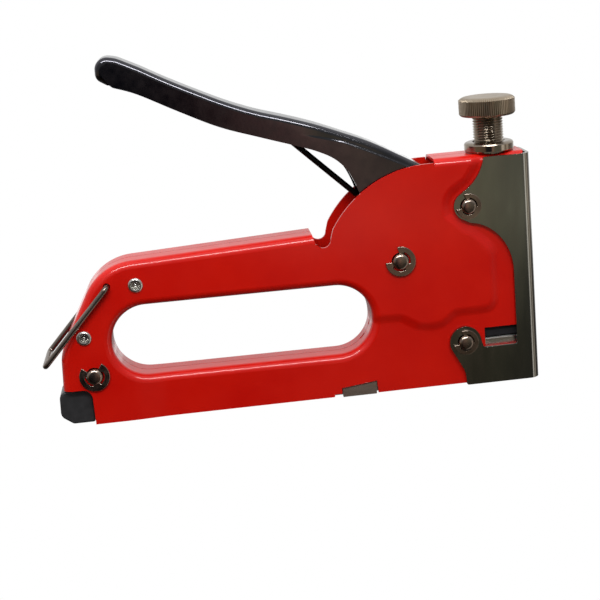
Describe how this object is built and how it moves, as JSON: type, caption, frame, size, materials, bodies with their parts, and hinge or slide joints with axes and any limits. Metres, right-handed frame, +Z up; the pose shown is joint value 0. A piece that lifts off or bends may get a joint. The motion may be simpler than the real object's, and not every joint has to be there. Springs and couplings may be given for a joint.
{
  "type": "manual staple gun",
  "caption": "Hand lever staple gun: two red stamped shells, steel nose cover, folding squeeze lever, tension knob, lock bail and pull-out staple rail.",
  "frame": {"origin": "under the middle of the tool's bounding box, on the surface it stands on", "axes": "+X forward to the nose, +Z up to the knob, +Y to the tool's left side"},
  "size_m": [0.187, 0.024, 0.1351],
  "materials": {
    "red_paint": "gloss enamel on stamped sheet steel",
    "polished_steel": "polished, dark bright plating",
    "bright_steel": "plain zinc plating",
    "dark_steel": "oiled spring steel",
    "nickel_plate": "nickel plate over a knurl",
    "spring_steel": "black oiled wire",
    "black_rubber": "matt rubber",
    "black_plastic": "fine satin"
  },
  "bodies": {
    "frame": {"right_shell": "red_paint", "left_shell": "red_paint", "nose_cover": "polished_steel", "lever_pivot_pin": "dark_steel", "rear_pin": "dark_steel", "nose_upper_pin": "dark_steel", "nose_lower_pin": "dark_steel", "lever_pivot_clip_right": "dark_steel", "lever_pivot_clip_left": "dark_steel", "rear_clip_right": "dark_steel", "rear_clip_left": "dark_steel", "nose_upper_clip_right": "dark_steel", "nose_upper_clip_left": "dark_steel", "nose_lower_clip_right": "dark_steel", "nose_lower_clip_left": "dark_steel", "rivet_upper": "bright_steel", "rivet_lower": "bright_steel", "pivot_sleeve": "bright_steel", "knob_bush": "nickel_plate", "bumper": "black_rubber", "magazine_channel": "bright_steel", "mainspring": "spring_steel"},
    "lever": {"squeeze_lever": "polished_steel", "lever_return_spring": "spring_steel"},
    "hammer": {"hammer": "bright_steel", "driver_blade": "dark_steel"},
    "seat": {"spring_seat": "bright_steel"},
    "knob": {"tension_knob": "nickel_plate"},
    "bail": {"lock_bail": "dark_steel"},
    "drawer": {"feed_rail": "bright_steel", "guide_rod": "bright_steel", "rail_end_cap": "black_plastic", "pusher_spring": "spring_steel"},
    "pusher": {"pusher": "dark_steel"}
  },
  "joints": [
    {"name": "lever_squeeze", "type": "hinge", "parent": "frame", "child": "lever", "pos_m": [0.04245, 0, 0.0509], "axis": [0, -1, 0], "range_deg": [0, 30], "stiffness_Nm_per_rad": 1.5, "springref_deg": -34.38, "deforming": ["lever_return_spring"]},
    {"name": "hammer_lift", "type": "slide", "parent": "frame", "child": "hammer", "axis": [0, 0, 1], "range_m": [0, 0.0133], "deforming": ["mainspring"]},
    {"name": "knob_turn", "type": "hinge", "parent": "seat", "child": "knob", "pos_m": [0.08015, 0, 0.1045], "axis": [0, 0, -1], "range_deg": [0, 2880]},
    {"name": "seat_slide", "type": "slide", "parent": "frame", "child": "seat", "axis": [0, 0, -1], "range_m": [0, 0.008], "deforming": ["mainspring"]},
    {"name": "bail_swing", "type": "hinge", "parent": "frame", "child": "bail", "pos_m": [-0.06675, 0, 0.0527], "axis": [0, 1, 0], "range_deg": [0, 115]},
    {"name": "rail_pull", "type": "slide", "parent": "frame", "child": "drawer", "axis": [-1, 0, 0], "range_m": [0, 0.125]},
    {"name": "pusher_slide", "type": "slide", "parent": "drawer", "child": "pusher", "axis": [-1, 0, 0], "range_m": [0, 0.1], "stiffness_N_per_m": 20, "springref_m": -0.1, "deforming": ["pusher_spring"]}
  ],
  "couplings": [
    {"joint": "hammer_lift", "follows": "lever_squeeze", "m_per_rad": 0.0252},
    {"joint": "knob_turn", "follows": "seat_slide", "rad_per_m": 6283.2}
  ]
}
